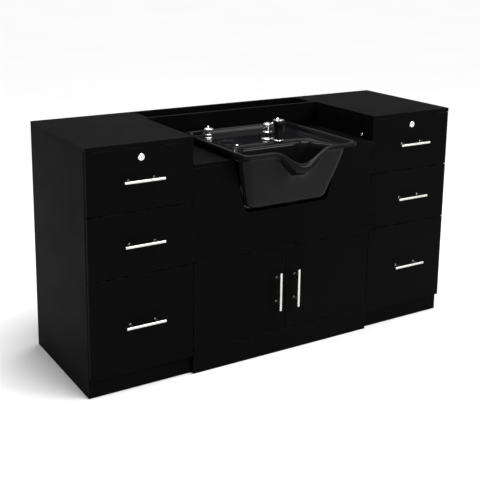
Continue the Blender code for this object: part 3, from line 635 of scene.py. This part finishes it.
def cam_lock(side):
    """A chrome barrel round a plug with a key slot, and the cam and nut behind the front."""
    centre = at(middle_of("lock_barrel_" + side).x, 0.0, LOCK_HEIGHT)
    barrel = [(0.0112, 0.0038), (0.0122, 0.0030), (0.0125, 0.0015), (0.0125, GAP), (0.0098, GAP),
              (0.0098, -0.0225), (0.0073, -0.0225), (0.0073, 0.0030), (0.0080, 0.0038)]
    show(turned("lock_barrel_" + side + "_turned", centre, OUTWARD, barrel), CHROME, "chrome",
         "lock_barrel_" + side)
    plug = turned("lock_plug", centre, OUTWARD, [(0.0, 0.0030), (0.0064, 0.0030), (0.0070, 0.0024),
                                                 (0.0070, -0.0250), (0.0, -0.0250)])
    slot = bmesh.new()
    bevelled_box(slot, centre + Vector((-0.0008, -0.0060, -0.0036)),
                 centre + Vector((0.0008, 0.0020, 0.0036)), 0.0003, 1)
    plug = cut(plug, mesh_object("cutter", slot))
    cam, nut = bmesh.new(), bmesh.new()
    half = 0.0080
    plate = rounded([(-half, -half), (0.0300, -half), (0.0300, half), (-half, half)], 0.0070, 6,
                    closed=True)
    outlined_board(cam, [(centre.x + x, centre.z + z) for x, z in plate], (0.0238, 0.0263), 1,
                   0.0003)
    revolve(nut, centre, BACKWARD, [(0.0, 0.0264), (0.0062, 0.0264), (0.0062, 0.0285),
                                    (0.0052, 0.0294), (0.0, 0.0294)], 6)
    plug = cut(plug, mesh_object("cam", cam), mesh_object("nut", nut, 20.0), operation="UNION")
    plug.name = "lock_cam_" + side + "_plug"
    show(plug, CHROME, "chrome", "lock_cam_" + side)


def door(side, sign):
    """The door, with its cup holes, its upright handle and its halves of the hinges."""
    cups = [(at(sign * HINGE_CUP, 0.0037, z), at(sign * HINGE_CUP, 0.03, z), CUP_RADIUS + GAP)
            for z in HINGE_HEIGHTS]
    plain_board("door_" + side, *cups)
    bar_handle("door_handle_" + side, True)
    for level, z in zip(("lower", "upper"), HINGE_HEIGHTS):
        hinge("_".join(("hinge", side, level)), sign, z)


def hinge(node, sign, z):
    """A concealed hinge's cup, flange, two screws and cranked arm."""
    back = DOOR_BACK
    cup = bmesh.new()
    revolve(cup, at(sign * HINGE_CUP, back, z), OUTWARD,
            rounded([(0.0, 0.0120), (CUP_RADIUS - 0.001, 0.0120), (CUP_RADIUS, 0.0105),
                     (CUP_RADIUS, 0.0002), (CUP_RADIUS - 0.0012, 0.0002),
                     (CUP_RADIUS - 0.0016, 0.0104), (0.0, 0.0108)], 0.0006), 40)
    left, right = sorted((sign * 0.3580, sign * (CENTRE_INNER - 0.0005)))
    flange = rounded([(left, z - 0.026), (right, z - 0.026), (right, z + 0.026),
                      (left, z + 0.026)], 0.0075, 5, closed=True)
    outlined_board(cup, flange, (back + GAP, back + 0.0018), 1, 0.0003)
    for up in (-0.0195, 0.0195):
        screw_head(cup, at(sign * 0.3708, back + 0.0018, z + up), BACKWARD)
    for half, x_span, y_span in ((0.0080, (0.3660, 0.3815), (back + 0.0012, back + 0.0080)),
                                 (0.0064, (0.3672, 0.3803), (back + 0.0070, back + 0.0133)),
                                 (0.0050, (0.3690, 0.3785), (0.0060, back + 0.0020))):
        left, right = sorted(sign * x for x in x_span)
        bevelled_box(cup, at(left, y_span[0], z - half), at(right, y_span[1], z + half), 0.0012, 3)
    show(mesh_object(node + "_metal", cup), STEEL, "hinge_steel", node)


# ---------------------------------------------------------------- bowl
# One level line of the bowl: half width in front and behind, front and rear y, corner radii in
# front and behind, height, how far it dips and bulges out in the neck notch, and the half widths
# of the notch's level bottom and of the whole notch. The lines run from the drain up the outside,
# under the deck, over the rim, across the deck and down the inside
Line = namedtuple("Line", "front_half rear_half front rear front_round rear_round height dip out"
                          " bottom notch")
BOWL_LINES = (
    Line(0.1300, 0.1150, 0.0120, 0.1000, 0.030, 0.036, 0.5860, 0.0000, 0.0000, 0.020, 0.100),
    Line(0.1680, 0.1430, 0.0000, 0.1060, 0.024, 0.040, 0.5920, 0.0000, 0.0000, 0.020, 0.100),
    Line(0.1790, 0.1500, -0.0080, 0.1120, 0.024, 0.044, 0.6000, 0.0000, 0.0000, 0.020, 0.100),
    Line(0.1840, 0.1540, -0.0130, 0.1170, 0.030, 0.047, 0.6160, 0.0000, 0.0000, 0.020, 0.100),
    Line(0.2120, 0.1640, -0.0400, 0.1300, 0.036, 0.052, 0.7000, 0.0020, 0.0000, 0.020, 0.100),
    Line(0.2330, 0.1730, -0.0590, 0.1370, 0.038, 0.056, 0.7760, 0.0560, 0.0020, 0.022, 0.104),
    Line(0.2340, 0.1750, -0.0620, 0.1390, 0.038, 0.056, DECK_UNDER, 0.0650, 0.0030, 0.024, 0.106),
    Line(0.2350, 0.2310, -0.0640, 0.3500, 0.038, 0.032, DECK_UNDER, 0.0640, 0.0040, 0.025, 0.106),
    Line(0.2440, 0.2420, -0.0680, 0.3680, 0.040, 0.026, DECK_UNDER, 0.0600, 0.0040, 0.025, 0.106),
    Line(0.2455, 0.2430, -0.0760, 0.3690, 0.036, 0.024, 0.8020, 0.0710, 0.0060, 0.025, 0.108),
    Line(0.2505, 0.2475, -0.0970, 0.3750, 0.030, 0.024, 0.8035, 0.0730, 0.0100, 0.025, 0.110),
    Line(0.2535, 0.2505, -0.1030, 0.3780, 0.028, 0.024, 0.8070, 0.0700, 0.0120, 0.022, 0.112),
    Line(0.2515, 0.2485, -0.1010, 0.3770, 0.027, 0.023, 0.8125, 0.0640, 0.0135, 0.012, 0.118),
    Line(0.2530, 0.2500, -0.1020, 0.3775, 0.027, 0.023, 0.8165, 0.0580, 0.0110, 0.006, 0.124),
    Line(0.2485, 0.2455, -0.0975, 0.3750, 0.026, 0.022, 0.8200, 0.0550, 0.0060, 0.000, 0.128),
    Line(0.2390, 0.2360, -0.0890, 0.3700, 0.025, 0.020, 0.8190, 0.0555, 0.0040, 0.000, 0.128),
    Line(0.2330, 0.2300, -0.0830, 0.3660, 0.024, 0.018, 0.8140, 0.0560, 0.0030, 0.000, 0.128),
    Line(0.2290, 0.2260, -0.0765, 0.3630, 0.024, 0.018, 0.8010, 0.0560, 0.0010, 0.000, 0.126),
    Line(0.2240, 0.2210, -0.0700, 0.3580, 0.024, 0.018, DECK, 0.0580, 0.0000, 0.000, 0.124),
    Line(0.2190, 0.1700, -0.0640, 0.1370, 0.034, 0.056, 0.7945, 0.0620, 0.0000, 0.000, 0.120),
    Line(0.2160, 0.1650, -0.0590, 0.1300, 0.036, 0.054, 0.7850, 0.0600, 0.0000, 0.000, 0.116),
    Line(0.2030, 0.1560, -0.0330, 0.1220, 0.036, 0.050, 0.7000, 0.0020, 0.0000, 0.000, 0.100),
    Line(0.1760, 0.1460, -0.0050, 0.1090, 0.032, 0.046, 0.6220, 0.0000, 0.0000, 0.000, 0.100),
    Line(0.1560, 0.1340, 0.0060, 0.1000, 0.030, 0.038, 0.6060, 0.0000, 0.0000, 0.000, 0.100),
    Line(0.0900, 0.0850, 0.0220, 0.0980, 0.030, 0.032, 0.5840, 0.0000, 0.0000, 0.000, 0.100),
)
FRONT_PIECES, CORNER_PIECES, SIDE_PIECES, REAR_PIECES = 36, 6, 6, 12


def level_line(line):
    """Points of one level line, anticlockwise from the front left corner."""
    fr, rr = line.front_round, line.rear_round
    front_x, rear_x = line.front_half - fr, line.rear_half - rr
    front_y, rear_y = line.front + fr, line.rear - rr
    points = []

    def straight(start, end, pieces):
        points.extend((start[0] + (end[0] - start[0]) * i / pieces,
                       start[1] + (end[1] - start[1]) * i / pieces) for i in range(pieces))

    def corner(x, y, radius, start):
        points.extend((x + radius * math.cos(a), y + radius * math.sin(a))
                      for a in (start + math.pi / 2 * i / CORNER_PIECES
                                for i in range(CORNER_PIECES)))

    straight((-front_x, line.front), (front_x, line.front), FRONT_PIECES)
    corner(front_x, front_y, fr, -math.pi / 2)
    straight((line.front_half, front_y), (line.rear_half, rear_y), SIDE_PIECES)
    corner(rear_x, rear_y, rr, 0.0)
    straight((rear_x, line.rear), (-rear_x, line.rear), REAR_PIECES)
    corner(-rear_x, rear_y, rr, math.pi / 2)
    straight((-line.rear_half, rear_y), (-line.front_half, front_y), SIDE_PIECES)
    corner(-front_x, front_y, fr, math.pi)
    shaped = []
    for i, (x, y) in enumerate(points):
        t = min(max((abs(x) - line.bottom) / (line.notch - line.bottom), 0.0), 1.0)
        share = 1.0 - t * t * (3.0 - 2.0 * t) if i <= FRONT_PIECES else 0.0
        shaped.append((x, y - line.out * share, line.height - line.dip * share))
    return shaped


def drain_line(guide, radius, height):
    """A circle round the drain, with its points facing those of the line beside it."""
    angles = [math.atan2(y - DRAIN_AT[1], x - DRAIN_AT[0]) for x, y, _ in guide]
    return [(DRAIN_AT[0] + radius * math.cos(a), DRAIN_AT[1] + radius * math.sin(a), height)
            for a in angles]


def bowl():
    """The moulded shell: a smooth skin over its level lines, with the deck's three holes."""
    lines = [level_line(line) for line in BOWL_LINES]
    lines = [drain_line(lines[0], DRAIN_RADIUS, DRAIN_UNDER),
             drain_line(lines[0], 0.031, DRAIN_UNDER)] + lines
    lines += [drain_line(lines[-1], 0.034, 0.571), drain_line(lines[-1], DRAIN_RADIUS, DRAIN_TOP)]
    bm = bmesh.new()
    rings = [[bm.verts.new(at(*point)) for point in line] for line in lines]
    for low, high in zip(rings, rings[1:] + rings[:1]):
        for i in range(len(low)):
            j = (i + 1) % len(low)
            bm.faces.new((low[i], low[j], high[j], high[i]))
    shell = mesh_object("bowl_shell", bm)
    skin = shell.modifiers.new("skin", "SUBSURF")
    skin.levels = skin.render_levels = 2
    tools = [rod(at(x, y, DECK_UNDER - 0.02), at(x, y, DECK + 0.02), SHANK_HOLE)
             for x, y in (FAUCET_AT, BREAKER_AT, SPRAY_AT)]
    shell = cut(shell, *tools, angle=50.0)
    show(shell, BOWL_BLACK, "bowl_black", "bowl")
    x, y = DECK_RING_AT
    ring = [(0.0400, -0.0010), (0.0412, 0.0012), (0.0425, 0.0024), (0.0447, 0.0024),
            (0.0460, 0.0012), (0.0472, -0.0010)]
    show(turned("bowl_deck_ring", at(x, y, DECK), UP, ring, 0.0009, 72),
         BOWL_BLACK, "bowl_black", body="root")
    x, y = DECK_BUTTON_AT
    button = [(0.0, 0.0042), (0.0030, 0.0038), (0.0048, 0.0022), (0.0052, 0.0008),
              (0.0062, 0.0004), (0.0062, -0.0006), (0.0, -0.0006)]
    show(turned("bowl_deck_button", at(x, y, DECK), UP, button, 0.0005, 32),
         CHROME, "chrome", body="root")


def shank(radius):
    """Profile of a threaded shank through the deck, clamped by its nut, with its ridges."""
    top = DECK_UNDER - GAP
    threads = []
    height = top - 0.0075
    while height > SHANK_LOW + 0.002:
        threads += [(radius, height), (radius - 0.0006, height - 0.0007)]
        height -= 0.0014
    return [(radius, DECK + GAP), (radius, top), (NUT_RADIUS, top), (NUT_RADIUS, top - 0.0068),
            (radius - 0.0002, top - 0.0070)] + threads + [(radius - 0.0004, SHANK_LOW)]


def strainer():
    """The lift-out hair cup: a pressed rim and a pierced bottom."""
    centre = at(*DRAIN_AT, DRAIN_TOP + 0.0045)
    cup = [(0.0, -0.0095), (0.0160, -0.0095), (0.0185, -0.0020), (0.0187, 0.0), (0.0298, 0.0021),
           (0.0300, 0.0010), (0.0196, -0.0022), (0.0170, -0.0110), (0.0, -0.0110)]
    dish = turned("strainer_cup", centre, UP, cup, 0.0005, 64)
    dish = pierce(dish, centre + Vector((0.0, 0.0, -0.016)),
                  ((1, 0.0), (6, 0.0048), (12, 0.0098)),
                  [(0.0, 0.0), (0.0016, 0.0), (0.0016, 0.012), (0.0, 0.012)], 12)
    show(dish, CHROME, "chrome", "strainer")


def drain_trap():
    """Tailpiece, water-sealed trap and waste arm, with ribbed slip nuts.

    The pipe runs down from the drain, round a bend below low, up and over an elbow to the waste.
    """
    x, y = DRAIN_AT
    low, waste, bend, elbow, pipe_radius = 0.445, WASTE_HEIGHT, 0.042, 0.036, 0.0168
    arm = y + 2 * bend + elbow
    path = [(x, y, 0.5585), (x, y, 0.52), (x, y, 0.48), (x, y, low + 0.005)]

    def arc(cy, cz, radius, start, end, pieces):
        return [(x, cy + radius * math.cos(a), cz + radius * math.sin(a))
                for a in (math.radians(start + (end - start) * i / pieces)
                          for i in range(pieces + 1))]

    path += arc(y + bend, low, bend, 180, 360, 24)
    path += arc(arm, waste - elbow, elbow, 180, 90, 12)
    path += [(x, arm + 0.03, waste), (x, 0.46, waste), (x, 0.505, waste)]
    curve = bpy.data.curves.new("drain_trap_pipe", "CURVE")
    curve.dimensions, curve.bevel_depth, curve.bevel_resolution = "3D", pipe_radius, 6
    curve.use_fill_caps = True
    spline = curve.splines.new("POLY")
    spline.points.add(len(path) - 1)
    for point, position in zip(spline.points, path):
        point.co = (*at(*position), 1.0)
    route = bpy.data.objects.new("route", curve)
    bm = bmesh.new()
    bm.from_mesh(route.to_mesh())
    bpy.data.objects.remove(route)
    show(mesh_object("drain_trap_pipe", bm), PIPE, "pipe_plastic", "drain_trap")
    nut = [(0.0180, 0.0), (0.0230, 0.0), (0.0250, 0.0018), (0.0250, 0.0190), (0.0225, 0.0215),
           (0.0180, 0.0215)]
    nuts = bmesh.new()
    revolve(nuts, at(x, y, low + 0.0080), UP, nut, 80, ribs=True)
    revolve(nuts, at(x, arm + 0.0125, waste), BACKWARD, nut, 80, ribs=True)
    revolve(nuts, at(x, y, 0.5496), UP, [(0.0175, 0.0), (0.0290, 0.0), (0.0300, 0.0012),
                                         (0.0300, 0.0088), (0.0175, 0.0088)], 64)
    show(mesh_object("drain_trap_nuts", nuts, 30.0), PIPE, "pipe_plastic", "drain_trap")


# ---------------------------------------------------------------- fittings
def fitting(name, spot, profile, material, slot, *nodes, fillet=0.0006, body=None):
    """A turned fitting that stands on the deck, with its profile's heights above the floor."""
    obj = turned(name, at(*spot, 0.0), UP, profile, fillet, 64)
    return show(obj, material, slot, *nodes, body=body)


def faucet():
    """The faucet's body, its turning cap, and the lever that lifts from the cap."""
    base, neck = DECK + GAP, 0.846
    fitting("faucet_body_turned", FAUCET_AT,
            [(0.0, neck), (0.0150, neck), (0.0165, neck - 0.0015), (0.0165, 0.8300),
             (0.0172, 0.8280), (0.0200, 0.8245), (0.0200, 0.8040), (0.0208, 0.8020),
             (0.0240, 0.8005), (0.0260, 0.7980), (0.0260, base)]
            + shank(SHANK_RADIUS) + [(0.0, SHANK_LOW)], CHROME, "chrome", "faucet_body")
    fitting("faucet_cap_dome", FAUCET_AT,
            [(0.0, 0.8610), (0.0060, 0.8607), (0.0115, 0.8592), (0.0152, 0.8565), (0.0172, 0.8530),
             (0.0175, 0.8500), (0.0175, 0.8475), (0.0168, neck + GAP), (0.0, neck + GAP)],
            CHROME, "chrome", "faucet_cap")
    root, tip = at(FAUCET_AT[0] + 0.0205, FAUCET_AT[1], 0.8535), at(0.0895, FAUCET_AT[1], 0.8725)
    length = (tip - root).length
    lever = [(0.0, 0.0), (0.0040, 0.0), (0.0044, 0.0015), (0.0036, 0.0060),
             (0.0034, length * 0.45), (0.0042, length * 0.80), (0.0044, length * 0.90),
             (0.0036, length * 0.975), (0.0020, length), (0.0, length)]
    show(turned("faucet_lever_turned", root, tip - root, lever, 0.0012, 32), CHROME, "chrome",
         "faucet_lever")


def vacuum_breaker():
    """The vacuum breaker's two tiers, in one with its shank."""
    base = DECK + GAP
    fitting("vacuum_breaker_turned", BREAKER_AT,
            [(0.0, 0.8435), (0.0030, 0.8432), (0.0044, 0.8418), (0.0045, 0.8388), (0.0110, 0.8383),
             (0.0165, 0.8372), (0.0208, 0.8348), (0.0225, 0.8312), (0.0225, 0.8262),
             (0.0200, 0.8230), (0.0122, 0.8215), (0.0120, 0.8148), (0.0150, 0.8132),
             (0.0168, 0.8110), (0.0168, 0.8000), (0.0185, 0.7985), (0.0185, base)]
            + shank(SHANK_RADIUS) + [(0.0, SHANK_LOW)], CHROME, "chrome", "vacuum_breaker")


def spray():
    """The hand spray's body and bright face plate, and the bushing that it stands in."""
    seat = DECK + 0.0055
    fitting("spray_head_body", SPRAY_AT,
            [(0.0, 0.8745), (0.0200, 0.8745), (0.0202, 0.8762), (0.0216, 0.8762), (0.0228, 0.8745),
             (0.0230, 0.8700), (0.0230, 0.8645), (0.0222, 0.8600), (0.0200, 0.8530),
             (0.0176, 0.8460), (0.0165, 0.8390), (0.0163, 0.8250), (0.0165, 0.8150),
             (0.0152, seat), (0.0075, seat), (0.0075, SHANK_LOW), (0.0, SHANK_LOW)],
            SPRAY_BLACK, "spray_black", "spray_head")
    face = fitting("spray_head_face", SPRAY_AT,
                   [(0.0, 0.8757), (0.0120, 0.8758), (0.0185, 0.8765), (0.0197, 0.8762),
                    (0.0199, 0.8748), (0.0, 0.8748)], CHROME, "chrome", body="spray_head")
    pierce(face, at(*SPRAY_AT, 0.8752), ((6, 0.0050), (12, 0.0100), (18, 0.0150)),
           [(0.0, 0.0), (0.0005, 0.0), (0.0008, 0.003), (0.0, 0.003)], 10)
    top = seat - GAP
    fitting("spray_bushing_turned", SPRAY_AT,
            [(0.0100, top), (0.0165, top), (0.0178, top - 0.0006), (0.0198, DECK + 0.0030),
             (0.0200, DECK + GAP)] + shank(0.0120) + [(0.0085, SHANK_LOW), (0.0085, top - 0.0010)],
            CHROME, "chrome", "spray_bushing", fillet=0.0003)


# ---------------------------------------------------------------- stage and camera
def stage():
    """A pale floor, one broad soft sun, two softboxes and an even surround."""
    bm = bmesh.new()
    bmesh.ops.create_grid(bm, x_segments=1, y_segments=1, size=60.0)
    floor = mesh_object("floor", bm)
    floor.location.z = -0.0005
    floor.data.materials.append(surface("floor", (0.80, 0.80, 0.80), (0.82, 0.82, 0.82),
                                        (0.75, 0.85), specular=0.2, fine=60.0, broad=0.5))
    world = bpy.data.worlds.new("surround")
    world.use_nodes = True
    background = world.node_tree.nodes["Background"]
    background.inputs["Color"].default_value = (1.0, 1.0, 1.0, 1.0)
    background.inputs["Strength"].default_value = 0.45
    bpy.context.scene.world = world
    sun = bpy.data.lights.new("sun", "SUN")
    sun.energy, sun.angle = 2.75, math.radians(40.0)
    lamp = bpy.data.objects.new("sun", sun)
    lamp.rotation_euler = Vector((0.55, -0.75, 1.7)).to_track_quat("Z", "Y").to_euler()
    bpy.context.scene.collection.objects.link(lamp)
    for name, place, aim, size, power in (
            ("softbox_overhead", (-0.3, 0.2, 2.9), (0.0, 0.0, 0.8), (2.4, 1.0), 60.0),
            ("softbox_right", (2.0, -2.6, 2.2), (0.0, 0.0, 0.8), (1.2, 0.8), 35.0)):
        light = bpy.data.lights.new(name, "AREA")
        light.shape, light.size, light.size_y, light.energy = "RECTANGLE", *size, power
        lamp = bpy.data.objects.new(name, light)
        lamp.location = place
        lamp.rotation_euler = (Vector(aim) - Vector(place)).to_track_quat("-Z", "Y").to_euler()
        bpy.context.scene.collection.objects.link(lamp)


def camera():
    """The view from the left front, a little above the unit.

    It was solved from the photo: the place in multiples of the unit's height, and the focal
    length and the height of the optical centre in pixels of its square picture.
    """
    height = CAD_BOX[1].z
    picture, focal_length, centre_row = 480, 899.2, 140
    place = Vector((-2.095, -3.000, 1.723)) * height + Vector((0.0, FRONT, 0.0))
    yaw, pitch, roll = 0.554, -0.212, 0.012
    forward = Vector((math.sin(yaw) * math.cos(pitch), math.cos(yaw) * math.cos(pitch),
                      math.sin(pitch)))
    right = Vector((math.cos(yaw), -math.sin(yaw), 0.0))
    up = right.cross(forward)
    level_right = right * math.cos(roll) + up * math.sin(roll)
    level_up = up * math.cos(roll) - right * math.sin(roll)
    data = bpy.data.cameras.new("camera")
    data.sensor_width, data.lens = 36.0, focal_length / picture * 36.0
    data.shift_y = (centre_row - picture / 2) / picture
    obj = bpy.data.objects.new("camera", data)
    obj.matrix_world = Matrix.Translation(place) @ Matrix(
        (level_right, level_up, -forward)).transposed().to_4x4()
    bpy.context.scene.collection.objects.link(obj)
    bpy.context.scene.camera = obj


for board_node in PLAIN_BOARDS:
    plain_board(board_node)
for side_name, side_sign in SIDES:
    tower_sides(side_name, side_sign)
    joining_bolt(side_name, side_sign)
    centre_side(side_name, side_sign)
    door(side_name, side_sign)
    cam_lock(side_name)
    for level_name in LEVELS:
        drawer(side_name, level_name)
centre_back()
counter_and_fascia()
bowl()
strainer()
drain_trap()
faucet()
vacuum_breaker()
spray()
stage()
camera()
bpy.context.scene.view_settings.view_transform = "Standard"
